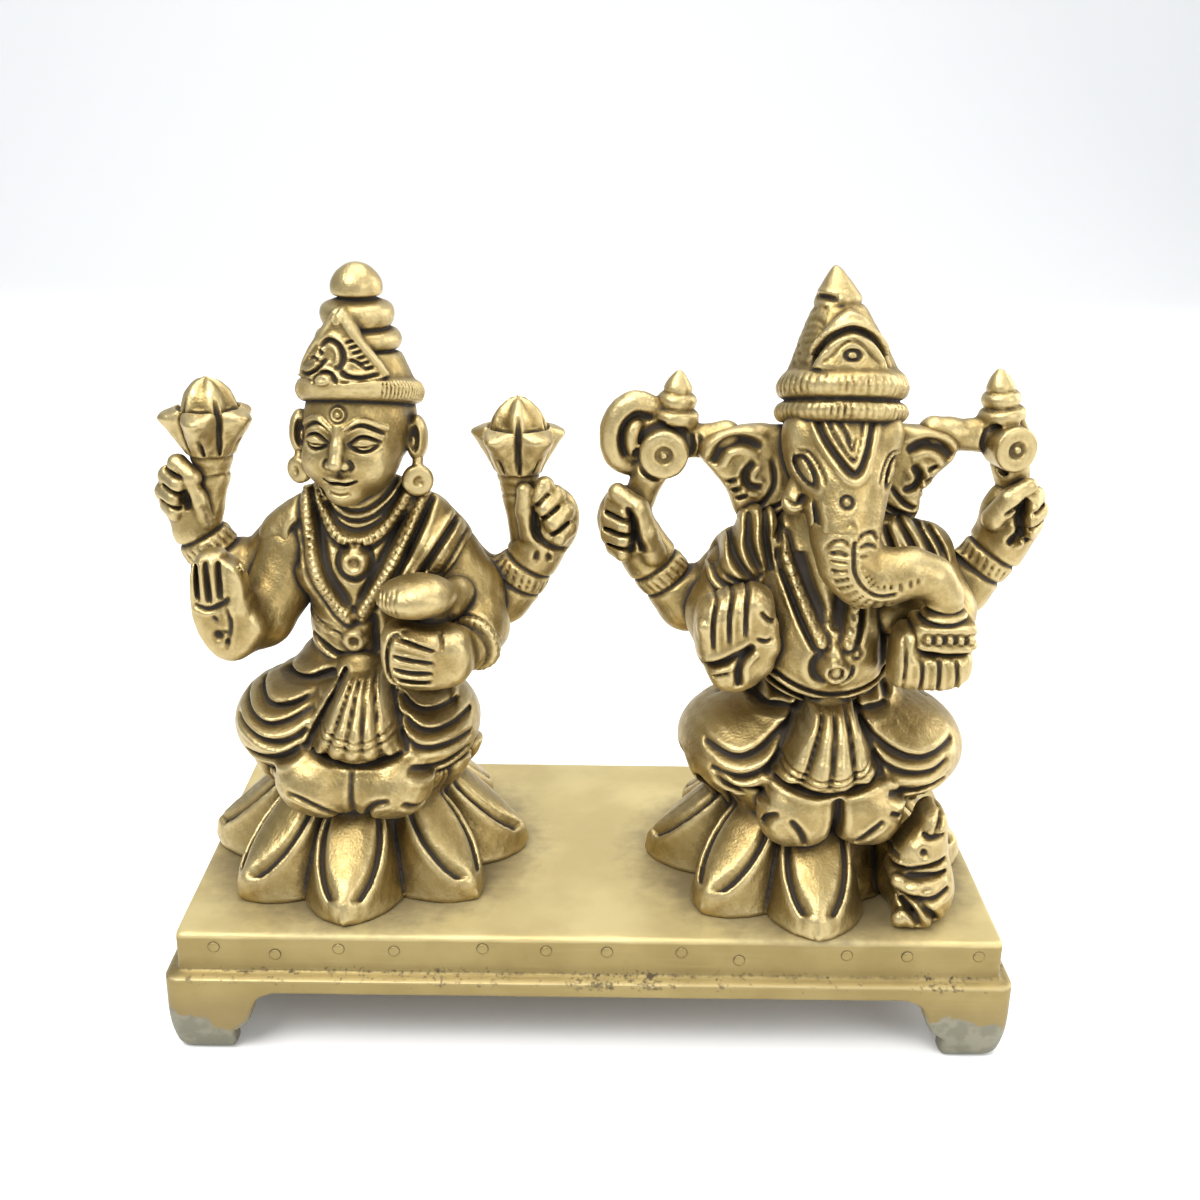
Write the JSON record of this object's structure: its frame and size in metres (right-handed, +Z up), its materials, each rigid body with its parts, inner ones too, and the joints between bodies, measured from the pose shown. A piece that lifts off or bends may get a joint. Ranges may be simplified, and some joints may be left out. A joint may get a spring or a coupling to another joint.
{
  "type": "ganesha idol",
  "caption": "Cast brass Ganesha and Lakshmi, each on a lotus seat, side by side on a low footed stand.",
  "frame": {"origin": "centre of the stand's footprint, on the surface that its feet rest on", "axes": "+X to the viewer's right along the stand, +Y to the back, +Z up; the figures face -Y"},
  "size_m": [0.1673, 0.0744, 0.1397],
  "materials": {
    "antique_brass": "antique cast brass, dark patina in the recesses, worn bright on the high places",
    "stand_brass": "satin cast brass, stained, worn to bare metal at the feet",
    "screw_steel": "plain turned steel"
  },
  "bodies": {
    "root": {"figure_screws": "screw_steel", "ganesha_axe": "antique_brass", "ganesha_crown": "antique_brass", "ganesha_front_left_arm": "antique_brass", "ganesha_front_right_arm": "antique_brass", "ganesha_head": "antique_brass", "ganesha_lap": "antique_brass", "ganesha_left_ear": "antique_brass", "ganesha_lotus_seat": "antique_brass", "ganesha_mouse": "antique_brass", "ganesha_noose": "antique_brass", "ganesha_rear_left_arm": "antique_brass", "ganesha_rear_right_arm": "antique_brass", "ganesha_right_ear": "antique_brass", "ganesha_sweets": "antique_brass", "ganesha_torso": "antique_brass", "ganesha_trunk": "antique_brass", "lakshmi_crown": "antique_brass", "lakshmi_earrings": "antique_brass", "lakshmi_front_left_arm": "antique_brass", "lakshmi_front_right_arm": "antique_brass", "lakshmi_head": "antique_brass", "lakshmi_lap": "antique_brass", "lakshmi_left_lotus": "antique_brass", "lakshmi_lotus_seat": "antique_brass", "lakshmi_rear_left_arm": "antique_brass", "lakshmi_rear_right_arm": "antique_brass", "lakshmi_right_lotus": "antique_brass", "lakshmi_torso": "antique_brass", "lakshmi_vessel": "antique_brass", "screw_washers": "screw_steel", "stand": "stand_brass"}
  },
  "joints": []
}
